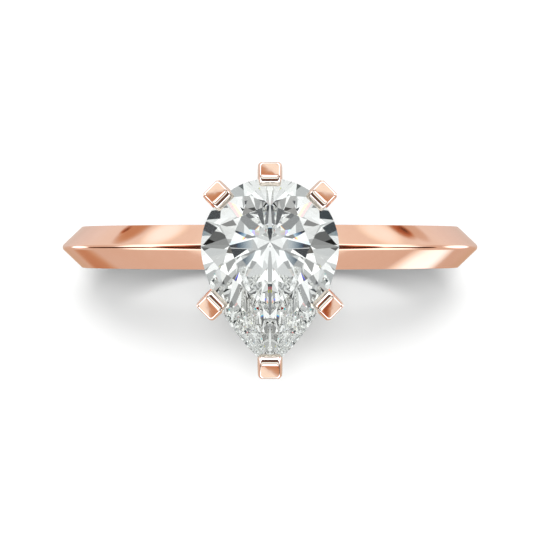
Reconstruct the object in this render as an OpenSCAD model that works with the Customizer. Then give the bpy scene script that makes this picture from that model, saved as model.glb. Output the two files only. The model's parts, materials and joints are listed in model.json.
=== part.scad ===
/* [Finger hole] */
// Diameter of the finger hole
bore_d = 16.5; // [15:0.1:19]
// Chamfer where the finger hole meets the band's sides
hole_chamfer = 0.12; // [0.05:0.01:0.2]

/* [Band] */
// Width of the band along the finger
band_w = 2.0; // [1.8:0.1:2.6]
// Depth of the flat side, from the finger hole to the bevel
side_wall = 0.95; // [0.8:0.05:1.3]
// Rise of the bevels from the flat sides to the ridge
bevel_rise = 0.97; // [0.8:0.01:1.1]
// Radius that softens the ridge
ridge_r = 0.2; // [0.1:0.01:0.25]

/* [Stone] */
// Radius of the stone's round end
head_r = 2.9; // [2.7:0.05:3.1]
// Radius of the two arcs that run on to the point
side_r = 7.94; // [7.5:0.02:8.5]
// Angle past the widest line where the arcs leave the round end
sweep_a = 13.8; // [12:0.2:16]
// Height of the girdle's lower edge above the ridge
girdle_rise = 3.13; // [3.03:0.05:3.43]
// Thickness of the girdle
girdle_t = 0.16; // [0.1:0.01:0.2]
// Height of the crown above the girdle
crown_h = 0.86; // [0.7:0.01:0.95]
// Depth of the pavilion below the girdle
pavilion_h = 2.5; // [2.3:0.05:2.55]
// Width of the table as a share of the outline
table_share = 0.58; // [0.52:0.01:0.64]
// Distance of the culet from the round end's centre, away from the point
culet_y = 0.22; // [0:0.02:0.3]

/* [Claws] */
// Thickness of a claw outside the girdle
claw_out = 0.66; // [0.56:0.02:0.7]
// Reach of a claw over the crown
claw_over = 0.36; // [0.3:0.01:0.4]
// How much further in the claw at the point stands
point_in = 0.2; // [0:0.01:0.22]
// How much further out the two claws beside the point stand
side_out = 0.09; // [0:0.01:0.1]
// Height of a claw above the girdle's upper edge
claw_h = 0.65; // [0.55:0.01:0.75]
// Width of a claw at its tip
claw_w = 0.9; // [0.8:0.02:0.96]
// Widest part of a claw, below the girdle
claw_body_w = 1.06; // [1:0.02:1.1]
// Width of a claw at its foot
claw_foot_w = 0.68; // [0.6:0.02:0.8]
// Radius of the claw tip's outer edges
claw_round = 0.14; // [0.08:0.01:0.2]
// Radius of the nose that presses on the crown
nose_r = 0.44; // [0.34:0.01:0.48]

/* [Basket] */
// Height of the claws' feet above the ridge
foot_rise = 0.53; // [0.48:0.05:0.58]
// Height of the lower rail
lower_rail_h = 0.55; // [0.4:0.05:0.6]
// Wall of the lower rail
lower_rail_wall = 0.5; // [0.4:0.02:0.52]
// Height of the upper rail's underside above the ridge
upper_rail_rise = 1.53; // [1.43:0.05:1.58]
// Height of the upper rail
upper_rail_h = 0.45; // [0.35:0.05:0.45]
// Wall of the upper rail
upper_rail_wall = 0.44; // [0.36:0.02:0.46]
// Radius of the collar under the lower rail
collar_r = 1.5; // [1.4:0.05:1.6]
// Radius of the collar where it sits on the band
collar_foot_r = 0.95; // [0.8:0.05:1]
// Radius of the peg that goes into the band
peg_r = 0.45; // [0.4:0.01:0.5]
// Depth of the peg's end below the ridge
peg_depth = 1.27; // [1.07:0.05:1.37]

/* [Hidden] */

GOLD = [0.90, 0.66, 0.54];
CLEAR = [0.90, 0.94, 0.97, 0.7];
BLOCK = 40;
SMALL = 0.000001;
ROUND_FN = 180;
PEG_FN = 64;
ARC_STEPS = 6;

bore_r = bore_d / 2;
corner_r = bore_r + side_wall;
ridge_top_r = corner_r + bevel_rise;
ridge_c = ridge_top_r - ridge_r;
ridge_reach = norm([corner_r - ridge_c, band_w / 2]);
ridge_a = atan2(band_w / 2, corner_r - ridge_c) - acos(ridge_r / ridge_reach);

// Heights above the finger hole's centre
peg_z = ridge_top_r - peg_depth;
foot_z = ridge_top_r + foot_rise;
upper_rail_z = ridge_top_r + upper_rail_rise;
girdle_z = ridge_top_r + girdle_rise;

side_c = (side_r - head_r) * [-cos(sweep_a), sin(sweep_a)];
point_y = side_c.y - sqrt(side_r ^ 2 - side_c.x ^ 2);
point_a = acos(-side_c.x / side_r);
culet = [0, culet_y];
culet_z = girdle_z - pavilion_h;
girdle_top = girdle_z + girdle_t;
table_z = girdle_top + crown_h;

// Facet directions on the +X half, from the round end to the point: mains, and the girdle points between them
MAIN_A = [90, 45, 0, -33, -90];
BETWEEN_A = [67.5, 22.5, -16, -43];
STAR_SHARE = 0.67;
KEEL_SHARE = 0.2;
star_z = girdle_top + STAR_SHARE * crown_h;
keel_z = culet_z + KEEL_SHARE * pavilion_h;

// Claws and rails lean in toward one point on the axis, this far below the ridge
CONE_DEPTH = 2.77;
CLAW_BEND = 0.3;
CLAW_WAIST = 0.6;
FOOT_T = 0.6;
SADDLE_DEPTH = 0.47;
COLLAR_WAIST_RISE = 0.08;
DISH_R = 0.85;
DISH_DEPTH = 0.3;
DISH_FLAT_R = 0.15;
cone_z = ridge_top_r - CONE_DEPTH;
saddle_z = ridge_top_r - SADDLE_DEPTH;
collar_waist_z = ridge_top_r + COLLAR_WAIST_RISE;
claw_top = girdle_top + claw_h;

function unit(a) = [cos(a), sin(a)];
function flip(a) = a > 90 ? 180 - a : a;
function mirrored(p) = len(p) == 2 ? [-p.x, p.y] : [-p.x, p.y, p.z];
function raised(p, z) = [p.x, p.y, z];

// Point of the outline whose outward normal has direction a, for a from -90 to 270
function touch(a) = let (f = flip(a), p = f >= -sweep_a ? head_r * unit(f)
    : f >= -point_a ? side_c + side_r * unit(f)
    : [0, point_y]) a > 90 ? mirrored(p) : p;

// Distance from the culet's axis to the outline's tangent of direction a
function support(a) = (touch(a) - culet) * unit(a);

// Distance from the round end's centre to the outline in direction a
function reach(a) = let (f = flip(a), k = side_c * unit(f)) f >= -sweep_a ? head_r
    : k + sqrt(side_r ^ 2 - side_c * side_c + k ^ 2);

function lean(z) = (z - cone_z) / (girdle_z - cone_z);
function table_point(a) = raised(culet + table_share * (touch(a) - culet), table_z);

// Planes are pairs of a point and an outward normal, which points up for the crown and down for the pavilion
function sloped(a, z, slope, up) = [
    raised(culet + support(a) * unit(a), z),
    [slope * cos(a), slope * sin(a), up]
];
function bezel(a) = sloped(a, girdle_top, crown_h / ((1 - table_share) * support(a)), 1);
function main(a) = sloped(a, girdle_z, pavilion_h / support(a), -1);
function aimed(n, up) = n.z * up > 0 ? n : -n;
function through(p, q, r, up) = [p, aimed(cross(q - p, r - p), up)];

// Where two planes meet at height z
function meeting(one, two, z) = let (
    n = one[1],
    m = two[1],
    j = n * one[0] - n.z * z,
    k = m * two[0] - m.z * z
) [j * m.y - k * n.y, n.x * k - m.x * j, 0] / (n.x * m.y - n.y * m.x) + [0, 0, z];

// Star facet, upper girdle facets and lower girdle facets around the girdle point between two mains
function facets_between(a0, b, a1) = let (
    star = meeting(bezel(a0), bezel(a1), star_z),
    keel = meeting(main(a0), main(a1), keel_z),
    g = touch(b)
) [
    through(table_point(a0), table_point(a1), star, 1),
    for (a = [a0, a1]) through(raised(touch(a), girdle_top), raised(g, girdle_top), star, 1),
    for (a = [a0, a1]) through(raised(touch(a), girdle_z), raised(g, girdle_z), keel, -1)
];

half_facets = concat(
    [for (a = MAIN_A) each [bezel(a), main(a)]],
    [for (i = [0:len(BETWEEN_A) - 1]) each facets_between(MAIN_A[i], BETWEEN_A[i], MAIN_A[i + 1])]
);
other_facets = [for (f = half_facets) if (abs(f[1].x) > SMALL) [mirrored(f[0]), mirrored(f[1])]];

function arc(c, r, a0, a1) = [for (i = [0:ARC_STEPS]) c + r * unit(a0 + (a1 - a0) * i / ARC_STEPS)];

module pear(scale, inset) {
    point_side = [side_c.x * scale, side_c.y * scale];
    arc_r = side_r * scale - inset;
    intersection() {
        translate(point_side) circle(r = arc_r, $fn = 2 * ROUND_FN);
        translate(mirrored(point_side)) circle(r = arc_r, $fn = 2 * ROUND_FN);
        union() {
            circle(r = head_r * scale - inset, $fn = ROUND_FN);
            polygon([
                (head_r * scale - inset) * unit(-sweep_a),
                mirrored((head_r * scale - inset) * unit(-sweep_a)),
                [-side_r, -2 * side_r],
                [side_r, -2 * side_r]
            ]);
        }
    }
}

// Everything on the inner side of a plane
module below(plane) {
    n = plane[1] / norm(plane[1]);
    translate(plane[0]) rotate([0, acos(n.z), atan2(n.y, n.x)]) {
        translate([-BLOCK / 2, -BLOCK / 2, -BLOCK]) cube(BLOCK);
    }
}

module cut_stone() {
    intersection() {
        translate([0, 0, culet_z - 1]) linear_extrude(table_z - culet_z + 1) pear(1, 0);
        intersection_for (plane = half_facets) below(plane);
        intersection_for (plane = other_facets) below(plane);
    }
}

module rail(z, h, wall) {
    size = lean(z + h / 2);
    translate([0, 0, z]) linear_extrude(h) difference() {
        pear(size, 0);
        pear(size, wall);
    }
}

module lower_rail() {
    rail(foot_z, lower_rail_h, lower_rail_wall);
}

module upper_rail() {
    rail(upper_rail_z, upper_rail_h, upper_rail_wall);
}

module band() {
    half_w = band_w / 2;
    tangent = ridge_r * unit(ridge_a);
    rotate([90, 0, 0]) rotate_extrude($fn = 2 * ROUND_FN) {
        polygon([
            [bore_r, hole_chamfer - half_w],
            [bore_r + hole_chamfer, -half_w],
            [corner_r, -half_w],
            [ridge_c + tangent.x, -tangent.y],
            [ridge_c + tangent.x, tangent.y],
            [corner_r, half_w],
            [bore_r + hole_chamfer, half_w],
            [bore_r, half_w - hole_chamfer]
        ]);
        translate([ridge_c, 0]) circle(r = ridge_r, $fn = PEG_FN);
    }
}

// Outline of a claw seen from its side: radial distance and height
module claw_side_view(outer, inner) {
    polygon(concat(
        [[lean(foot_z) * inner, foot_z], [lean(foot_z) * inner + FOOT_T, foot_z]],
        [[outer, girdle_z - CLAW_BEND]],
        arc([outer - claw_round, claw_top - claw_round], claw_round, 0, 90),
        arc([inner + nose_r, claw_top - nose_r], nose_r, 90, 180),
        [[inner, girdle_z]]
    ));
}

// Outline of a claw seen from outside the ring: sideways distance and height
module claw_front_view() {
    waist_z = girdle_z - CLAW_WAIST;
    tip_x = claw_w / 2 - claw_round;
    polygon(concat(
        [[-claw_foot_w / 2, foot_z], [claw_foot_w / 2, foot_z], [claw_body_w / 2, waist_z]],
        arc([tip_x, claw_top - claw_round], claw_round, 0, 90),
        arc([-tip_x, claw_top - claw_round], claw_round, 90, 180),
        [[-claw_body_w / 2, waist_z]]
    ));
}

module claw(a, inset = 0) {
    outer = reach(a) - inset + claw_out;
    inner = reach(a) - inset - claw_over;
    color(GOLD) difference() {
        rotate([0, 0, a]) intersection() {
            rotate([90, 0, 0]) linear_extrude(2 * claw_body_w, center = true) {
                claw_side_view(outer, inner);
            }
            rotate([90, 0, 90]) linear_extrude(2 * outer) claw_front_view();
        }
        cut_stone();
        lower_rail();
        upper_rail();
    }
}

module shank() {
    color(GOLD) difference() {
        band();
        translate([0, 0, peg_z]) cylinder(r = peg_r, h = ridge_top_r, $fn = PEG_FN);
    }
}

module collar() {
    color(GOLD) union() {
        difference() {
            rotate_extrude($fn = PEG_FN) polygon([
                [0, saddle_z],
                [collar_foot_r, saddle_z],
                [collar_foot_r, collar_waist_z],
                [collar_r, foot_z],
                [DISH_R, foot_z],
                [DISH_FLAT_R, foot_z - DISH_DEPTH],
                [0, foot_z - DISH_DEPTH]
            ]);
            band();
        }
        translate([0, 0, peg_z]) cylinder(r = peg_r, h = collar_waist_z - peg_z, $fn = PEG_FN);
    }
}

module rail_lower() {
    color(GOLD) lower_rail();
}

module rail_upper() {
    color(GOLD) upper_rail();
}

module stone() {
    color(CLEAR) cut_stone();
}

module claw_head() {
    claw(90);
}

module claw_head_left() {
    claw(135);
}

module claw_head_right() {
    claw(45);
}

module claw_side_left() {
    claw(225, -side_out);
}

module claw_side_right() {
    claw(-45, -side_out);
}

module claw_point() {
    claw(-90, point_in);
}

shank();
collar();
rail_lower();
rail_upper();
stone();
claw_head();
claw_head_left();
claw_head_right();
claw_side_left();
claw_side_right();
claw_point();
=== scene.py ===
"""Looks of the engagement ring: knife-edge rose gold band, claw basket and pear-cut stone."""
import json
import math

import bmesh
import bpy
from mathutils import Matrix, Vector


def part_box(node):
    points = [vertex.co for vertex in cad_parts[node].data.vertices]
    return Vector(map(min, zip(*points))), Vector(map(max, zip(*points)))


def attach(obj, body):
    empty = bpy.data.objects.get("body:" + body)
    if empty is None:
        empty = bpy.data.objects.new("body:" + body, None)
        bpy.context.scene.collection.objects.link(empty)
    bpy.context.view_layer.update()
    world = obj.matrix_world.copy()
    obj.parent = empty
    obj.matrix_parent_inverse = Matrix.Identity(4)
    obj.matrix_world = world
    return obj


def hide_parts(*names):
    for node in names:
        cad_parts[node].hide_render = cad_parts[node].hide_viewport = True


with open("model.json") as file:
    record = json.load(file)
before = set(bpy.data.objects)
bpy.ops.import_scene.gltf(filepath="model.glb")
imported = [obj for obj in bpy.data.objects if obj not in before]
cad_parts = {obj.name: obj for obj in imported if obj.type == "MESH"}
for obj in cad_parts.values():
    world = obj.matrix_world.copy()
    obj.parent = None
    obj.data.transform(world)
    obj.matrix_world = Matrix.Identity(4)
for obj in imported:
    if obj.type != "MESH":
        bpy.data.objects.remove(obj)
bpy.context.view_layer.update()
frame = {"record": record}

MM = 0.001

# ---------------------------------------------------------------------------- sizes from the frame
SHANK_LO, SHANK_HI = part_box("shank")
STONE_LO, STONE_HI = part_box("stone")
CLAW_LO, CLAW_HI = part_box("claw_head")
COLLAR_LO, COLLAR_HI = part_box("collar")
FINGER_R = frame["record"]["mounts"][0]["dims"]["r_mm"] * MM

# Band: ridge and half width from the frame, flat side, and the radii of its rounded corners
RIDGE_R = SHANK_HI.z
BAND_HALF = SHANK_HI.y
SIDE_WALL = 0.95 * MM
RIDGE_ROUND = 0.20 * MM
HOLE_ROUND = 0.14 * MM
CORNER_ROUND = 0.05 * MM
# Height of the sharp ridge above the rounded one, as a share of the rounding's radius
RIDGE_OVER = 0.42
BAND_STEPS = 360

# Stone: round end, side arcs as a multiple of it, and the angle past the widest line where they begin
HEAD_R = STONE_HI.x
SIDE_TO_HEAD = 2.738
SIDE_R = HEAD_R * SIDE_TO_HEAD
SWEEP = math.radians(13.8)
# Height of the girdle's lower edge, 2.5 mm over the culet
GIRDLE_Z = STONE_LO.z + 2.5 * MM
GIRDLE_T = 0.16 * MM
GIRDLE_TOP = GIRDLE_Z + GIRDLE_T
TABLE_Z = STONE_HI.z
CROWN_H = TABLE_Z - GIRDLE_TOP
PAVILION_H = GIRDLE_Z - STONE_LO.z
TABLE_SHARE = 0.58
CULET = Vector((0.0, 0.22 * MM))

# Claws: thickness outside the girdle, reach over the crown, and how far in or out some of them stand
CLAW_OUT = CLAW_HI.y - HEAD_R
CLAW_OVER = 0.36 * MM
POINT_IN = 0.20 * MM
SIDE_OUT = 0.09 * MM
# Heights of top and foot, and widths at the tip, below the girdle and at the foot
CLAW_TOP = CLAW_HI.z
CLAW_W = 0.90 * MM
CLAW_BODY_W = 1.06 * MM
CLAW_FOOT_W = 0.68 * MM
FOOT_Z = CLAW_LO.z
FOOT_T = 0.6 * MM
# Height on the axis that the claws' inner faces point to
CONE_Z = 7.4 * MM

# Edges sharper than this many degrees stay crisp on the smooth metal pieces
METAL_SHARP = 40


def unit(angle):
    """Flat direction at this angle from +X."""
    return Vector((math.cos(angle), math.sin(angle)))


def smoothed(t):
    """Soft step from 0 to 1."""
    t = max(0.0, min(1.0, t))
    return t * t * (3 - 2 * t)


# -------------------------------------------------------------------------------- the pear outline
SIDE_C = Vector((-math.cos(SWEEP), math.sin(SWEEP))) * (SIDE_R - HEAD_R)
POINT = Vector((0.0, SIDE_C.y - math.sqrt(SIDE_R**2 - SIDE_C.x**2)))
POINT_A = math.acos(-SIDE_C.x / SIDE_R)


def touch(angle):
    """Point of the outline whose outward normal has this direction, from -90 to 270 degrees."""
    folded = math.pi - angle if angle > math.pi / 2 else angle
    if folded >= -SWEEP:
        p = HEAD_R * unit(folded)
    elif folded >= -POINT_A:
        p = SIDE_C + SIDE_R * unit(folded)
    else:
        p = POINT.copy()
    return Vector((-p.x, p.y)) if angle > math.pi / 2 else p


def support(angle):
    """Distance from the culet to the line that touches the outline in this direction."""
    return (touch(angle) - CULET).dot(unit(angle))


def reach(angle):
    """Distance from the round end's centre to the outline in this direction."""
    folded = math.pi - angle if angle > math.pi / 2 else angle
    if folded >= -SWEEP:
        return HEAD_R
    along = SIDE_C.dot(unit(folded))
    return along + math.sqrt(SIDE_R**2 - SIDE_C.length_squared + along**2)


def pear(size, inset, head_steps=72, side_steps=48):
    """Closed outline, scaled by size and then moved inwards by inset, with the same points for any inset."""
    head, side_c, side = HEAD_R * size - inset, SIDE_C * size, SIDE_R * size - inset
    tip_a = math.acos(-side_c.x / side)
    half = [head * unit(math.pi / 2 - (math.pi / 2 + SWEEP) * i / head_steps) for i in range(head_steps)]
    half += [side_c + side * unit(-SWEEP - (tip_a - SWEEP) * i / side_steps) for i in range(side_steps + 1)]
    return half + [Vector((-p.x, p.y)) for p in half[-2:0:-1]]


# ------------------------------------------------------------------------------------ mesh helpers
def piece(name, bm, material, slot, stands_for, sharp=None):
    """Makes a piece from a bmesh: flat facets, or smooth with edges over the sharp angle kept crisp."""
    mesh = bpy.data.meshes.new(name)
    bmesh.ops.recalc_face_normals(bm, faces=bm.faces)
    bm.to_mesh(mesh)
    bm.free()
    if sharp is not None:
        mesh.shade_smooth()
        mesh.set_sharp_from_angle(angle=math.radians(sharp))
    mesh.materials.append(material)
    obj = bpy.data.objects.new(name, mesh)
    bpy.context.scene.collection.objects.link(obj)
    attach(obj, "root")
    if stands_for:
        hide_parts(*stands_for)
    # What is seen through the stone is the studio alone
    obj.visible_transmission = slot == "stone"
    return obj


def rounded(points, radii, steps=6):
    """Polygon of 2-D points with each corner turned by an arc of its own radius."""
    out = []
    for i, (p, r) in enumerate(zip(points, radii)):
        p = Vector(p)
        back = (Vector(points[i - 1]) - p).normalized()
        on = (Vector(points[(i + 1) % len(points)]) - p).normalized()
        half = math.acos(max(-1.0, min(1.0, back.dot(on)))) / 2
        if r <= 0:
            out.append(p)
            continue
        centre = p + (back + on).normalized() * (r / math.sin(half))
        start, end = p + back * (r / math.tan(half)) - centre, p + on * (r / math.tan(half)) - centre
        turn = start.angle_signed(end)
        for k in range(steps + 1):
            out.append(centre + Matrix.Rotation(-turn * k / steps, 2) @ start)
    return out


def skin(bm, rings, close_rings=False):
    """Joins rings of equal length into a tube; each ring is a closed loop of 3-D points."""
    made = [[bm.verts.new(p) for p in ring] for ring in rings]
    count = len(made[0])
    pairs = list(zip(made, made[1:] + made[:1])) if close_rings else list(zip(made, made[1:]))
    for a, b in pairs:
        for i in range(count):
            j = (i + 1) % count
            bm.faces.new((a[i], a[j], b[j], b[i]))
    return made


# --------------------------------------------------------------------------------------- materials
# Sockets of a Mix node: factor, both inputs and the output, for numbers and for colours
MIX_FACTOR = 0
NUMBER_A, NUMBER_B, NUMBER_OUT = 2, 3, 0
COLOUR_A, COLOUR_B, COLOUR_OUT = 6, 7, 2
# Sockets of a Mix Shader node's two inputs
SHADER_A, SHADER_B = 1, 2


def nodes_of(material):
    """The material's node tree, emptied."""
    material.use_nodes = True
    tree = material.node_tree
    tree.nodes.clear()
    return tree


def rose_gold(name, low, high):
    """Polished rose gold: a mirror with faint polishing lines, clouded gloss and two slowly mixed tones."""
    material = bpy.data.materials.new(name)
    tree = nodes_of(material)
    new, link = tree.nodes.new, tree.links.new
    place = new("ShaderNodeTexCoord")
    cloud = new("ShaderNodeTexNoise")
    cloud.inputs["Scale"].default_value = 900.0
    cloud.inputs["Detail"].default_value = 5.0
    cloud.inputs["Roughness"].default_value = 0.6
    gloss = new("ShaderNodeMapRange")
    gloss.inputs["From Min"].default_value = 0.3
    gloss.inputs["From Max"].default_value = 0.75
    gloss.inputs["To Min"].default_value = 0.045
    gloss.inputs["To Max"].default_value = 0.12
    tone = new("ShaderNodeValToRGB")
    tone.color_ramp.elements[0].position = 0.3
    tone.color_ramp.elements[0].color = (*low, 1)
    tone.color_ramp.elements[1].position = 0.75
    tone.color_ramp.elements[1].color = (*high, 1)
    stretch = new("ShaderNodeMapping")
    stretch.inputs["Scale"].default_value = (2500.0, 26000.0, 2500.0)
    lines = new("ShaderNodeTexNoise")
    lines.inputs["Scale"].default_value = 1.0
    lines.inputs["Detail"].default_value = 3.0
    bump = new("ShaderNodeBump")
    bump.inputs["Strength"].default_value = 0.05
    bump.inputs["Distance"].default_value = 0.000004
    shader = new("ShaderNodeBsdfPrincipled")
    shader.inputs["Metallic"].default_value = 1.0
    out = new("ShaderNodeOutputMaterial")
    link(place.outputs["Object"], cloud.inputs["Vector"])
    link(cloud.outputs["Fac"], gloss.inputs["Value"])
    link(cloud.outputs["Fac"], tone.inputs["Fac"])
    link(place.outputs["Object"], stretch.inputs["Vector"])
    link(stretch.outputs["Vector"], lines.inputs["Vector"])
    link(lines.outputs["Fac"], bump.inputs["Height"])
    link(tone.outputs["Color"], shader.inputs["Base Color"])
    link(gloss.outputs["Result"], shader.inputs["Roughness"])
    link(bump.outputs["Normal"], shader.inputs["Normal"])
    link(shader.outputs["BSDF"], out.inputs["Surface"])
    return material


def clear_stone():
    """Diamond, kept crisp: inside, a ray is mirrored where the facet mirrors it wholly, and else goes out."""
    material = bpy.data.materials.new("clear_stone")
    tree = nodes_of(material)
    new, link = tree.nodes.new, tree.links.new
    share = new("ShaderNodeFresnel")
    share.inputs["IOR"].default_value = DIAMOND_IOR
    wholly = new("ShaderNodeMath")
    wholly.operation = "GREATER_THAN"
    wholly.inputs[1].default_value = 0.5
    side = new("ShaderNodeNewGeometry")
    chosen = new("ShaderNodeMix")
    inside = new("ShaderNodeBsdfRefraction")
    inside.inputs["IOR"].default_value = DIAMOND_IOR
    inside.inputs["Roughness"].default_value = 0.0
    inside.inputs["Color"].default_value = (0.980, 0.995, 0.988, 1)
    mirror = new("ShaderNodeBsdfGlossy")
    mirror.inputs["Roughness"].default_value = 0.0
    gleam = new("ShaderNodeMix")
    gleam.data_type = "RGBA"
    gleam.inputs[COLOUR_A].default_value = (0.17, 0.18, 0.17, 1)
    gleam.inputs[COLOUR_B].default_value = (0.992, 0.992, 0.990, 1)
    both = new("ShaderNodeMixShader")
    out = new("ShaderNodeOutputMaterial")
    link(share.outputs["Fac"], wholly.inputs[0])
    link(side.outputs["Backfacing"], chosen.inputs[MIX_FACTOR])
    link(share.outputs["Fac"], chosen.inputs[NUMBER_A])
    link(wholly.outputs["Value"], chosen.inputs[NUMBER_B])
    link(side.outputs["Backfacing"], gleam.inputs[MIX_FACTOR])
    link(gleam.outputs[COLOUR_OUT], mirror.inputs["Color"])
    link(chosen.outputs[NUMBER_OUT], both.inputs["Fac"])
    link(inside.outputs["BSDF"], both.inputs[SHADER_A])
    link(mirror.outputs["BSDF"], both.inputs[SHADER_B])
    link(both.outputs["Shader"], out.inputs["Surface"])
    return material


def floor_material():
    """Plain pale floor with a faint change of tone."""
    material = bpy.data.materials.new("floor_white")
    tree = nodes_of(material)
    new, link = tree.nodes.new, tree.links.new
    place = new("ShaderNodeTexCoord")
    noise = new("ShaderNodeTexNoise")
    noise.inputs["Scale"].default_value = 40.0
    tone = new("ShaderNodeMixRGB")
    tone.inputs["Color1"].default_value = (0.90, 0.90, 0.895, 1)
    tone.inputs["Color2"].default_value = (0.92, 0.92, 0.915, 1)
    shader = new("ShaderNodeBsdfDiffuse")
    out = new("ShaderNodeOutputMaterial")
    link(place.outputs["Object"], noise.inputs["Vector"])
    link(noise.outputs["Fac"], tone.inputs["Fac"])
    link(tone.outputs["Color"], shader.inputs["Color"])
    link(shader.outputs["BSDF"], out.inputs["Surface"])
    return material


DIAMOND_IOR = 2.417
GOLD = rose_gold("rose_gold", (0.890, 0.505, 0.345), (0.915, 0.540, 0.380))
# Paler copy of the same rose gold for the claws: their brighter, creamier look painted into the colour
PAINTED_LIGHTER_GOLD = rose_gold("rose_gold_painted_lighter", (0.905, 0.580, 0.430), (0.925, 0.620, 0.470))
# Pale cream gold for the claws' noses and rim bevels: a painted highlight, the white light they mirror put
# into their colour
PAINTED_HIGHLIGHT_GOLD = rose_gold("rose_gold_painted_highlight", (0.930, 0.800, 0.690), (0.950, 0.850, 0.750))
CLEAR = clear_stone()


# ------------------------------------------------------------------------------------------- shank
def shank():
    """The band: its section turned round the finger hole."""
    corner = FINGER_R + SIDE_WALL
    ridge_half = math.atan2(BAND_HALF, RIDGE_R + RIDGE_ROUND * RIDGE_OVER - corner)
    sharp_ridge = RIDGE_R + RIDGE_ROUND * (1 / math.sin(ridge_half) - 1)
    profile = rounded(
        [(FINGER_R, -BAND_HALF), (corner, -BAND_HALF), (sharp_ridge, 0),
         (corner, BAND_HALF), (FINGER_R, BAND_HALF)],
        [HOLE_ROUND, CORNER_ROUND, RIDGE_ROUND, CORNER_ROUND, HOLE_ROUND],
    )
    rings = []
    for i in range(BAND_STEPS):
        a = math.tau * i / BAND_STEPS
        rings.append([Vector((p.x * math.sin(a), p.y, p.x * math.cos(a))) for p in profile])
    bm = bmesh.new()
    skin(bm, rings, close_rings=True)
    return piece("shank_polished", bm, GOLD, "gold", ["shank"], sharp=METAL_SHARP)


# ------------------------------------------------------------------------------------------- stone
# Directions of the main facets, and of the corners between them, on the half at +X
MAIN_A = [90, 45, 0, -33, -90]
BETWEEN_A = [67.5, 22.5, -16, -43]
# Levels where star and girdle facets meet, as shares of the crown's and of the pavilion's height
STAR_LEVEL = 0.67
LOWER_LEVEL = 0.2
# Least sideways part of a facet's normal for the facet to have a twin on the other half
TWIN_FROM = 1e-6
# A cut that passes a corner closer than this goes through it, in metres
WELD = 1e-9


def flat_plane(angle, z, slope, up):
    """(point, normal) of a plane that touches the outline in this direction at height z.

    It rises inwards by slope; up is 1 for the crown and -1 for the pavilion.
    """
    foot = CULET + support(angle) * unit(angle)
    tilt = math.atan(slope)
    flat = unit(angle) * math.sin(tilt)
    return Vector((foot.x, foot.y, z)), Vector((flat.x, flat.y, up * math.cos(tilt)))


def meeting(one, two, z):
    """Where two planes and the level z meet."""
    (p, n), (q, m) = one, two
    rows = Matrix(((n.x, n.y), (m.x, m.y)))
    flat = rows.inverted() @ Vector((n.dot(p) - n.z * z, m.dot(q) - m.z * z))
    return Vector((flat.x, flat.y, z))


def through(p, q, r, up):
    """(point, normal) of the plane through three points, with its normal turned up or down."""
    normal = (q - p).cross(r - p).normalized()
    return p, normal if normal.z * up > 0 else -normal


def at_height(point, z):
    return Vector((point.x, point.y, z))


def facet_planes():
    """(point, outward normal) of every facet but the girdle's; the half at +X comes first."""
    mains = [math.radians(a) for a in MAIN_A]
    betweens = [math.radians(a) for a in BETWEEN_A]
    bezel = [flat_plane(a, GIRDLE_TOP, CROWN_H / ((1 - TABLE_SHARE) * support(a)), 1) for a in mains]
    lower = [flat_plane(a, GIRDLE_Z, PAVILION_H / support(a), -1) for a in mains]
    half = bezel + lower
    for i, b in enumerate(betweens):
        star = meeting(bezel[i], bezel[i + 1], GIRDLE_TOP + STAR_LEVEL * CROWN_H)
        keel = meeting(lower[i], lower[i + 1], STONE_LO.z + LOWER_LEVEL * PAVILION_H)
        corners = [at_height(CULET + TABLE_SHARE * (touch(a) - CULET), TABLE_Z) for a in mains[i:i + 2]]
        half.append(through(*corners, star, 1))
        for a in mains[i:i + 2]:
            half.append(through(at_height(touch(a), GIRDLE_TOP), at_height(touch(b), GIRDLE_TOP), star, 1))
            half.append(through(at_height(touch(a), GIRDLE_Z), at_height(touch(b), GIRDLE_Z), keel, -1))
    table = (Vector((0, 0, TABLE_Z)), Vector((0, 0, 1)))
    other = [(Vector((-p.x, p.y, p.z)), Vector((-n.x, n.y, n.z))) for p, n in half if abs(n.x) > TWIN_FROM]
    return [table] + half + other


def stone_bmesh(grow=0.0):
    """The cut stone: a pear prism with every facet plane sliced off; grow moves all faces outwards."""
    bm = bmesh.new()
    outline = pear(1.0, -grow)
    skin(bm, [[Vector((p.x, p.y, z)) for p in outline] for z in (STONE_LO.z - MM, TABLE_Z + MM)])
    bmesh.ops.holes_fill(bm, edges=bm.edges)
    for point, normal in facet_planes():
        cut = bmesh.ops.bisect_plane(
            bm, geom=bm.verts[:] + bm.edges[:] + bm.faces[:], dist=WELD,
            plane_co=point + normal * grow, plane_no=normal, clear_outer=True,
        )
        rim = [e for e in cut["geom_cut"] if isinstance(e, bmesh.types.BMEdge)]
        bmesh.ops.contextual_create(bm, geom=rim)
    return bm


def stone():
    return piece("stone_faceted", stone_bmesh(), CLEAR, "stone", ["stone"])


# ------------------------------------------------------------------------------------------- claws
# Width and height of the flat bevel round the top, and of the steep one under it
RIM_W = 0.028 * MM
RIM_H = 0.022 * MM
EDGE_W = 0.04 * MM
EDGE_H = 0.22 * MM
# Radii of the nose over the crown and of the upright edges
NOSE_ROUND = 0.44 * MM
EDGE_ROUND = 0.12 * MM
# The most that an upright edge takes of half the claw's width, and of its depth
EDGE_OF_WIDTH = 0.6
EDGE_OF_DEPTH = 0.3
# The top: its dome at half a claw's width, the most times that grows, its slope outwards, and its twist
DOME = 0.016 * MM
DOME_MOST = 2.0
TOP_FALL = 0.19
TWIST = 0.12 / MM
# Rings on the body, round the nose and on the top; edges sharper than CLAW_SHARP degrees stay crisp
BODY_STEPS = 24
NOSE_STEPS = 16
CAP_STEPS = 6
CLAW_SHARP = 18
# Depths below the girdle where the outer face turns upright and where a claw is widest
BEND = 0.3 * MM
WAIST = 0.6 * MM
# Gap between the stone and its seat in the claws
SEAT_GAP = 0.012 * MM


def lean(z):
    """Share of its reach at the girdle that a claw's inner face has at height z."""
    return (z - CONE_Z) / (GIRDLE_Z - CONE_Z)


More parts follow.
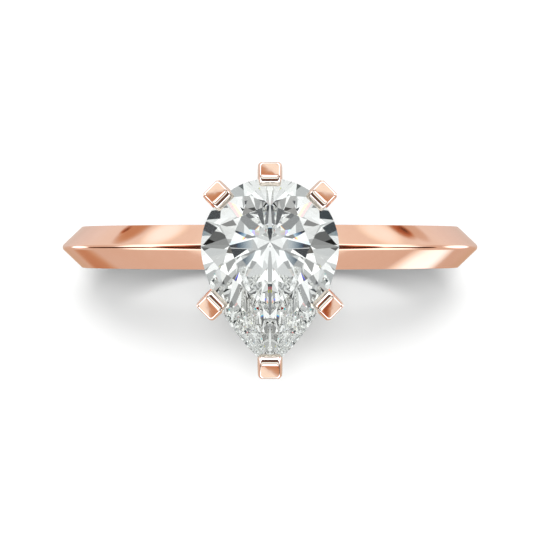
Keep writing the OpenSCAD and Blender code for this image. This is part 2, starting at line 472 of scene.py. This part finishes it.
def shrink(z, r):
    """How far a side has turned in at height z, where it meets the top by an arc of radius r."""
    over = max(0.0, z - (CLAW_TOP - r))
    return r - math.sqrt(max(0.0, r * r - over * over))


def rim(z):
    """How far the two bevels round a claw's top have come in at height z: a steep one, then a flat one."""
    low = CLAW_TOP - RIM_H - EDGE_H
    steep = EDGE_W * min(max(0.0, (z - low) / EDGE_H), 1.0)
    return steep + RIM_W * max(0.0, (z - CLAW_TOP + RIM_H) / RIM_H)


def claw_section(z, outer, inner):
    """Rounded rectangle of a claw at height z, as (radial, sideways) points."""
    bend_z, waist_z = GIRDLE_Z - BEND, GIRDLE_Z - WAIST
    foot_in = lean(FOOT_Z) * inner
    up_out = min(1.0, (z - FOOT_Z) / (bend_z - FOOT_Z))
    far = foot_in + FOOT_T + (outer - foot_in - FOOT_T) * up_out - rim(z)
    near = lean(min(z, GIRDLE_Z)) * inner + shrink(z, NOSE_ROUND)
    if z < waist_z:
        width = CLAW_FOOT_W + (CLAW_BODY_W - CLAW_FOOT_W) * (z - FOOT_Z) / (waist_z - FOOT_Z)
    else:
        width = CLAW_BODY_W + (CLAW_W - CLAW_BODY_W) * (z - waist_z) / (CLAW_TOP - waist_z)
    half = width / 2 - rim(z)
    r = min(EDGE_ROUND, half * EDGE_OF_WIDTH, (far - near) * EDGE_OF_DEPTH)
    return rounded([(near, -half), (far, -half), (far, half), (near, half)], [r] * 4, steps=6)


def claw(name, degrees, inset, hand):
    """One claw; inset moves it inwards, and hand is the side that its top's twist goes to."""
    a = math.radians(degrees)
    outer, inner = reach(a) - inset + CLAW_OUT, reach(a) - inset - CLAW_OVER
    out, side = unit(a), unit(a + math.pi / 2)
    levels = [FOOT_Z + (CLAW_TOP - NOSE_ROUND - FOOT_Z) * i / BODY_STEPS for i in range(BODY_STEPS)]
    turns = [math.pi / 2 * i / NOSE_STEPS for i in range(NOSE_STEPS + 1)]
    levels += [CLAW_TOP - NOSE_ROUND * (1 - math.sin(turn)) for turn in turns]
    levels = sorted(levels + [CLAW_TOP - RIM_H - EDGE_H, CLAW_TOP - RIM_H])
    rings = []
    for z in levels:
        rings.append([Vector((*(out * u + side * t), z)) for u, t in claw_section(z, outer, inner)])
    middle = sum(rings[-1], Vector()) / len(rings[-1])
    rings += [[middle.lerp(p, k / CAP_STEPS) for p in rings[-1]] for k in range(CAP_STEPS - 1, 0, -1)]
    for ring in rings:
        for p in ring:
            near_top = smoothed((p.z - CLAW_TOP + NOSE_ROUND) / NOSE_ROUND)
            away = ((p - middle).xy.length / (CLAW_W / 2)) ** 2
            outward = max(0.0, p.xy.dot(out) - inner - NOSE_ROUND)
            fall = TOP_FALL - hand * TWIST * p.xy.dot(side)
            p.z -= near_top * (DOME * min(away, DOME_MOST) + fall * outward)
    bm = bmesh.new()
    made = skin(bm, rings)
    bm.faces.new(list(reversed(made[0])))
    cap = {v for ring in made[-CAP_STEPS:] for v in ring}
    flat_bevel = {v for ring in made[levels.index(CLAW_TOP - RIM_H):] for v in ring}
    bm.faces.new(made[-1])
    # Nose and flat rim faces, but not the top, take the second, cream material: a painted highlight
    for face in bm.faces:
        centre = face.calc_center_median()
        on_nose = centre.xy.dot(out) < inner + NOSE_ROUND and centre.z > CLAW_TOP - NOSE_ROUND
        on_rim = flat_bevel.issuperset(face.verts)
        if (on_nose or on_rim) and not cap.issuperset(face.verts):
            face.material_index = 1
    # The claws take the paler copy of the gold, painted lighter than the band
    obj = piece(f"{name}_polished", bm, PAINTED_LIGHTER_GOLD, "gold", [name], sharp=CLAW_SHARP)
    obj.data.materials.append(PAINTED_HIGHLIGHT_GOLD)
    return obj


# -------------------------------------------------------------------------------- rails and collar
RAIL_WALLS = {"rail_lower": 0.5 * MM, "rail_upper": 0.44 * MM}
RAIL_ROUND = 0.12 * MM
RAIL_STEPS = 5
# Collar: its inside ends a hair off the axis; peg, saddle over the ridge, waist, lip and dished top
CORE_R = 0.02 * MM
PEG_R = 0.45 * MM
SADDLE_R, SADDLE_Z = 0.95 * MM, 9.7 * MM
COLLAR_WAIST_R, COLLAR_WAIST_Z = 0.9 * MM, 10.2 * MM
LIP_H = 0.12 * MM
DISH_OUTER_R, DISH_INNER_R, DISH_DEPTH = 0.85 * MM, 0.15 * MM, 0.3 * MM
# Radii of the collar's small corners, of its softer ones and of its waist
CORNER_SMALL, CORNER_SOFT, WAIST_ROUND = 0.05 * MM, 0.1 * MM, 0.4 * MM
COLLAR_STEPS = 96


def rail(name):
    """A pear-shaped wire at its node's height and size."""
    lo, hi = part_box(name)
    size = hi.x / HEAD_R
    wall = RAIL_WALLS[name]
    corners = [(0, lo.z), (wall, lo.z), (wall, hi.z), (0, hi.z)]
    section = rounded(corners, [RAIL_ROUND] * len(corners), steps=RAIL_STEPS)
    bm = bmesh.new()
    rings = [[Vector((p.x, p.y, z)) for p in pear(size, inset)] for inset, z in section]
    skin(bm, rings, close_rings=True)
    return piece(f"{name}_polished", bm, GOLD, "gold", [name], sharp=METAL_SHARP)


def collar():
    """The turned base under the head, from its peg up to its dished top."""
    foot, top = COLLAR_LO.z, COLLAR_HI.z
    corners = [
        (CORE_R, foot, 0),
        (PEG_R, foot, CORNER_SMALL),
        (PEG_R, SADDLE_Z, 0),
        (SADDLE_R, SADDLE_Z, CORNER_SOFT),
        (COLLAR_WAIST_R, COLLAR_WAIST_Z, WAIST_ROUND),
        (COLLAR_HI.x, top - LIP_H, CORNER_SMALL),
        (COLLAR_HI.x, top, CORNER_SMALL),
        (DISH_OUTER_R, top, CORNER_SOFT),
        (DISH_INNER_R, top - DISH_DEPTH, CORNER_SMALL),
        (CORE_R, top - DISH_DEPTH, 0),
    ]
    profile = rounded([(r, z) for r, z, turn in corners], [turn for r, z, turn in corners])
    rings = []
    for i in range(COLLAR_STEPS):
        a = math.tau * i / COLLAR_STEPS
        rings.append([Vector((r * math.cos(a), r * math.sin(a), z)) for r, z in profile])
    bm = bmesh.new()
    skin(bm, rings, close_rings=True)
    return piece("collar_polished", bm, GOLD, "gold", ["collar"], sharp=METAL_SHARP)


def notch(objects):
    """Cuts the seat of the stone out of each claw, a hair wider than the stone."""
    mesh = bpy.data.meshes.new("seat_cutter")
    bm = stone_bmesh(SEAT_GAP)
    bmesh.ops.recalc_face_normals(bm, faces=bm.faces)
    bm.to_mesh(mesh)
    bm.free()
    cutter = bpy.data.objects.new("seat_cutter", mesh)
    bpy.context.scene.collection.objects.link(cutter)
    for obj in objects:
        cut = obj.modifiers.new("seat", "BOOLEAN")
        cut.operation = "DIFFERENCE"
        cut.solver = "EXACT"
        cut.object = cutter
    graph = bpy.context.evaluated_depsgraph_get()
    for obj in objects:
        done = bpy.data.meshes.new_from_object(obj.evaluated_get(graph))
        obj.modifiers.clear()
        obj.data = done
        done.shade_smooth()
        done.set_sharp_from_angle(angle=math.radians(CLAW_SHARP))
    bpy.data.objects.remove(cutter)


# Name, direction in degrees, how far in it stands, and the side that its top's twist goes to
CLAWS = [
    ("claw_head", 90, 0, 1),
    ("claw_head_left", 135, 0, 1),
    ("claw_head_right", 45, 0, -1),
    ("claw_side_left", 225, -SIDE_OUT, 1),
    ("claw_side_right", -45, -SIDE_OUT, -1),
    ("claw_point", -90, POINT_IN, 1),
]

BAND = shank()
stone()
collar()
rail("rail_lower")
rail("rail_upper")
notch([claw(*which) for which in CLAWS])


# -------------------------------------------------------------------------------- floor and lights
FLOOR_SIZE = 1.0


def floor():
    """The pale floor that the band stands on, which no reflection shows."""
    bm = bmesh.new()
    bmesh.ops.create_grid(bm, x_segments=2, y_segments=2, size=FLOOR_SIZE)
    mesh = bpy.data.meshes.new("floor")
    bm.to_mesh(mesh)
    bm.free()
    mesh.materials.append(floor_material())
    obj = bpy.data.objects.new("floor", mesh)
    obj.location.z = SHANK_LO.z
    bpy.context.scene.collection.objects.link(obj)
    obj.visible_glossy = False
    obj.visible_transmission = False


# The metal's studio in rings: height along RING_AXIS, from -1 to 1, and radiance
METAL_RINGS = [
    (-1.00, 0.42), (-0.87, 0.58), (-0.65, 0.74), (-0.06, 0.80), (0.00, 1.5), (0.06, 2.2), (0.42, 2.2),
    (0.45, 0.02), (0.63, 0.02), (0.65, 0.35), (0.67, 0.02), (0.805, 0.02), (0.825, 1.35), (0.885, 1.3),
    (0.90, 1.10), (0.915, 0.82), (0.928, 0.54), (0.940, 0.42), (0.960, 0.38), (0.968, 0.38), (0.974, 2.2),
    (1.00, 2.2),
]
RING_AXIS = (-0.02, -0.015, 1.0)
# Soft patches of light and shade: direction, inner and outer half angle in degrees, radiance added
METAL_PATCHES = [
    ((0.0, 0.75, -0.66), 45, 60, 0.22),
    ((0.0, 0.9, -0.44), 10, 19, 1.0),
    ((0.0, -0.9, -0.44), 10, 20, 1.0),
    ((0.7, -0.7, -0.02), 7, 14, 0.9),
    ((-0.7, -0.7, -0.02), 7, 14, 0.9),
    ((0.7, 0.7, -0.02), 7, 14, 0.9),
    ((-0.7, 0.7, -0.02), 7, 14, 0.9),
    ((0.36, -0.30, 0.88), 8, 18, -0.3),
    ((0.88, 0.35, 0.3), 16, 30, 0.3),
    ((-0.88, 0.35, 0.3), 16, 30, 0.3),
    ((0.76, -0.10, 0.63), 7, 14, -1.9),
    ((0.93, -0.12, 0.32), 7, 14, -1.9),
    ((0.98, -0.12, 0.16), 7, 14, -1.9),
    ((1.0, -0.12, 0.0), 7, 14, -1.9),
    ((-0.76, -0.10, 0.63), 7, 14, -1.9),
    ((-0.93, -0.12, 0.32), 7, 14, -1.9),
    ((-0.98, -0.12, 0.16), 7, 14, -1.9),
    ((-1.0, -0.12, 0.0), 7, 14, -1.9),
    ((-0.97, -0.12, -0.2), 5, 12, -1.2),
    ((-0.92, -0.12, -0.36), 4, 9, -0.9),
    ((-0.457, 0.839, -0.297), 1.5, 8, 0.8),
    ((0.467, 0.824, -0.32), 1.5, 8, 0.6),
    ((-0.5, 0.707, -0.5), 2, 7, -0.55),
    ((-0.499, 0.656, -0.566), 0.5, 2, -0.5),
    ((0.497, 0.73, -0.47), 1, 4.5, -0.8),
    ((0.5, 0.67, -0.55), 1, 6, -0.30),
    ((0.82, 0.05, -0.57), 9, 18, 2.2),
    ((-0.78, 0.0, -0.62), 7, 13, 2.0),
    ((0.489, -0.629, -0.604), 2, 14, 1.4),
    ((-0.415, -0.469, -0.78), 3, 12, -0.28),
]
# Tints of the metal's studio by radiance: dark parts are warm, as gold lit by gold, bright parts are white
MOST = 2.5
METAL_TINTS = [
    (0.00, (0.02, 0.02, 0.02)),
    (0.20, (0.48, 0.16, 0.07)),
    (0.40, (0.60, 0.36, 0.23)),
    (0.50, (0.66, 0.47, 0.34)),
    (0.76, (0.77, 0.72, 0.69)),
    (0.90, (0.89, 0.93, 0.98)),
    (1.30, (1.08, 1.22, 1.25)),
    (1.80, (1.3, 1.6, 1.9)),
    (MOST, (2.5, 2.4, 2.7)),
]
# The stone sees a paler studio of many panels: random share of panels and their radiance
STONE_PANELS = [
    (0.0, 0.02), (0.05, 0.06), (0.09, 0.25), (0.25, 0.54),
    (0.45, 0.78), (0.65, 1.0), (0.85, 1.14), (1.0, 1.25),
]
PANEL_SCALE = 6.5
# Soft patches of the stone's studio, with directions folded to +X
STONE_PATCHES = [
    ((0.0, 0.0, -1.0), 75, 100, -0.33),
    ((0.28, 0.42, 0.86), 9, 15, 0.35),
    ((0.65, 0.20, 0.72), 7, 13, 0.35),
    ((0.12, -0.25, 0.94), 3, 5, -0.8),
    ((0.17, 0.00, 0.97), 2.2, 3.4, -0.8),
    ((0.51, 0.02, 0.84), 1.5, 3, -0.65),
    ((0.11, -0.35, -0.93), 6, 10, 0.5),
    ((0.38, 0.83, 0.38), 5, 9, 0.4),
    ((0.28, 0.14, 0.94), 3, 4.5, -0.7),
    ((0.52, -0.44, 0.72), 2, 3.3, -1.1),
    ((0.31, -0.38, 0.86), 2.5, 4, 0.4),
    ((0.60, 0.73, 0.27), 3, 6, -0.5),
    ((0.0, -0.87, 0.49), 9, 12, -0.18),
    ((0.0, -1.0, 0.04), 3, 4.4, -0.4),
    ((0.0, 0.86, -0.5), 12, 16, -0.5),
    ((0.0, 0.94, 0.32), 3, 6, -0.65),
    ((0.60, -0.49, 0.62), 6, 12, 0.26),
    ((0.16, -0.57, 0.79), 6, 12, 0.26),
    ((0.10, -0.78, 0.60), 6, 12, 0.26),
    ((0.84, -0.49, 0.24), 8, 14, 0.35),
    ((0.21, 0.23, 0.93), 4, 7, 0.2),
    ((0.45, 0.69, 0.55), 5, 9, 0.25),
    ((0.57, 0.21, 0.78), 4, 7, 0.2),
    ((0.30, -0.29, 0.90), 2.5, 4, -0.95),
]
DARKEST = 0.02
# Fill light on the floor, and its blue as a share of it
FLOOR_FILL = 0.40
FLOOR_WARM = 0.96
LIGHT_FAR = 0.25
# Spread of the colours in the stone: how much further out blue comes from than green, and green than red
FIRE = 0.0040


def patched(tree, vector, base, patches):
    """Radiance by direction: a base socket and its soft patches."""
    new, link = tree.nodes.new, tree.links.new
    total = new("ShaderNodeMath")
    total.inputs[1].default_value = 0.0
    link(base, total.inputs[0])
    for direction, inner, outer, amount in patches:
        dot = new("ShaderNodeVectorMath")
        dot.operation = "DOT_PRODUCT"
        dot.inputs[1].default_value = Vector(direction).normalized()
        soft = new("ShaderNodeMapRange")
        soft.interpolation_type = "SMOOTHSTEP"
        soft.inputs["From Min"].default_value = math.cos(math.radians(outer))
        soft.inputs["From Max"].default_value = math.cos(math.radians(inner))
        soft.inputs["To Max"].default_value = amount
        add = new("ShaderNodeMath")
        link(vector, dot.inputs[0])
        link(dot.outputs["Value"], soft.inputs["Value"])
        link(soft.outputs["Result"], add.inputs[0])
        link(total.outputs["Value"], add.inputs[1])
        total = add
    least = new("ShaderNodeMath")
    least.operation = "MAXIMUM"
    least.inputs[1].default_value = DARKEST
    link(total.outputs["Value"], least.inputs[0])
    return least.outputs["Value"]


def ramp_of(tree, stops):
    """Colour ramp through (position, colour) stops, with positions from 0 to 1."""
    ramp = tree.nodes.new("ShaderNodeValToRGB")
    made = ramp.color_ramp.elements
    while len(made) < len(stops):
        made.new(0.5)
    for stop, (position, colour) in zip(made, stops):
        stop.position = position
        stop.color = (*colour, 1)
    return ramp


def metal_studio(tree, vector):
    """Radiance that the metal mirrors: rings by height, soft patches, and a warm tint in the dark."""
    new, link = tree.nodes.new, tree.links.new
    along = new("ShaderNodeVectorMath")
    along.operation = "DOT_PRODUCT"
    along.inputs[1].default_value = Vector(RING_AXIS).normalized()
    height = new("ShaderNodeMapRange")
    height.inputs["From Min"].default_value = -1.0
    rings = ramp_of(tree, [((z + 1) / 2, (level,) * 3) for z, level in METAL_RINGS])
    share = new("ShaderNodeMath")
    share.operation = "DIVIDE"
    share.inputs[1].default_value = MOST
    tint = ramp_of(tree, [(level / MOST, colour) for level, colour in METAL_TINTS])
    link(vector, along.inputs[0])
    link(along.outputs["Value"], height.inputs["Value"])
    link(height.outputs["Result"], rings.inputs["Fac"])
    link(patched(tree, vector, rings.outputs["Color"], METAL_PATCHES), share.inputs[0])
    link(share.outputs["Value"], tint.inputs["Fac"])
    return tint.outputs["Color"]


def folded(tree, vector):
    """The direction with its left half laid over the right one, as the stone is cut alike on both sides."""
    new, link = tree.nodes.new, tree.links.new
    positive = new("ShaderNodeMath")
    positive.operation = "ABSOLUTE"
    parts = new("ShaderNodeSeparateXYZ")
    joined = new("ShaderNodeCombineXYZ")
    link(vector, parts.inputs[0])
    link(parts.outputs["X"], positive.inputs[0])
    link(positive.outputs["Value"], joined.inputs["X"])
    link(parts.outputs["Y"], joined.inputs["Y"])
    link(parts.outputs["Z"], joined.inputs["Z"])
    return joined.outputs["Vector"]


def panels(tree, vector):
    """Crisp cells of different brightness."""
    cells = tree.nodes.new("ShaderNodeTexVoronoi")
    cells.inputs["Scale"].default_value = PANEL_SCALE
    shade = tree.nodes.new("ShaderNodeSeparateColor")
    ramp = ramp_of(tree, [(position, (level,) * 3) for position, level in STONE_PANELS])
    tree.links.new(vector, cells.inputs["Vector"])
    tree.links.new(cells.outputs["Color"], shade.inputs["Color"])
    tree.links.new(shade.outputs["Red"], ramp.inputs["Fac"])
    return ramp.outputs["Color"]


def bent(tree, vector, amount):
    """The direction that a colour comes from, a little off for red and for blue, as a diamond bends them."""
    scaled = tree.nodes.new("ShaderNodeVectorMath")
    scaled.operation = "MULTIPLY"
    scaled.inputs[1].default_value = (1 + amount, 1 + amount, 1)
    straight = tree.nodes.new("ShaderNodeVectorMath")
    straight.operation = "NORMALIZE"
    tree.links.new(vector, scaled.inputs[0])
    tree.links.new(scaled.outputs["Vector"], straight.inputs[0])
    return straight.outputs["Vector"]


def studio():
    """White to the camera, an even fill to the floor, and a studio each for the stone and the metal."""
    world = bpy.data.worlds.new("studio")
    bpy.context.scene.world = world
    world.use_nodes = True
    tree = world.node_tree
    tree.nodes.clear()
    new, link = tree.nodes.new, tree.links.new
    ray = new("ShaderNodeLightPath")
    place = new("ShaderNodeTexCoord").outputs["Generated"]
    gem = new("ShaderNodeCombineColor")
    for channel, amount in (("Red", -FIRE), ("Green", 0.0), ("Blue", FIRE)):
        vector = folded(tree, bent(tree, place, amount))
        link(patched(tree, vector, panels(tree, vector), STONE_PATCHES), gem.inputs[channel])
    by_stone = new("ShaderNodeMix")
    by_stone.data_type = "RGBA"
    by_floor = new("ShaderNodeMix")
    by_floor.data_type = "RGBA"
    by_eye = new("ShaderNodeMix")
    by_eye.data_type = "RGBA"
    by_eye.inputs[COLOUR_B].default_value = (1, 1, 1, 1)
    by_floor.inputs[COLOUR_B].default_value = (FLOOR_FILL, FLOOR_FILL, FLOOR_WARM * FLOOR_FILL, 1)
    link(ray.outputs["Is Transmission Ray"], by_stone.inputs[MIX_FACTOR])
    link(metal_studio(tree, place), by_stone.inputs[COLOUR_A])
    link(gem.outputs["Color"], by_stone.inputs[COLOUR_B])
    link(ray.outputs["Is Diffuse Ray"], by_floor.inputs[MIX_FACTOR])
    link(by_stone.outputs[COLOUR_OUT], by_floor.inputs[COLOUR_A])
    link(ray.outputs["Is Camera Ray"], by_eye.inputs[MIX_FACTOR])
    link(by_floor.outputs[COLOUR_OUT], by_eye.inputs[COLOUR_A])
    sky = new("ShaderNodeBackground")
    link(by_eye.outputs[COLOUR_OUT], sky.inputs["Color"])
    out = new("ShaderNodeOutputWorld")
    link(sky.outputs["Background"], out.inputs["Surface"])


def soft_light(name, tilt, width, energy, blockers=()):
    """Disk light above the ring that no reflection and no stone shows.

    Tilt and width are in degrees; tilt moves it from straight above towards +Y. Only the blockers throw a
    shadow in it, or everything when none is named.
    """
    light = bpy.data.lights.new(name, "AREA")
    light.shape = "DISK"
    light.size = 2 * LIGHT_FAR * math.tan(math.radians(width / 2))
    light.energy = energy
    obj = bpy.data.objects.new(name, light)
    obj.location = Vector((0, math.sin(math.radians(tilt)), math.cos(math.radians(tilt)))) * LIGHT_FAR
    obj.rotation_euler = (-math.radians(tilt), 0, 0)
    obj.visible_glossy = False
    obj.visible_transmission = False
    bpy.context.scene.collection.objects.link(obj)
    if blockers:
        group = bpy.data.collections.new(f"{name}_blockers")
        for blocker in blockers:
            group.objects.link(blocker)
        obj.light_linking.blocker_collection = group


CAMERA_UP = 91.5 * MM
CAMERA_LENS = 123.8
CAMERA_SHIFT = -0.0424
CAMERA_NEAR, CAMERA_FAR = 0.001, 10.0


def camera():
    """Camera straight above the ring's axis."""
    data = bpy.data.cameras.new("camera")
    data.sensor_width = 36.0
    data.lens = CAMERA_LENS
    data.shift_y = CAMERA_SHIFT
    data.clip_start = CAMERA_NEAR
    data.clip_end = CAMERA_FAR
    obj = bpy.data.objects.new("camera", data)
    bpy.context.scene.collection.objects.link(obj)
    obj.location = (0.0, 0.0, CAMERA_UP)
    bpy.context.scene.camera = obj


floor()
studio()
soft_light("key", tilt=13, width=12, energy=0.33, blockers=[BAND])
soft_light("overhead", tilt=3, width=7, energy=0.22)
camera()

scene = bpy.context.scene
scene.view_settings.view_transform = "Standard"
scene.cycles.max_bounces = 64
scene.cycles.transmission_bounces = 60
scene.cycles.glossy_bounces = 60
scene.cycles.sample_clamp_indirect = 6.0
scene.cycles.caustics_reflective = False
scene.cycles.caustics_refractive = False
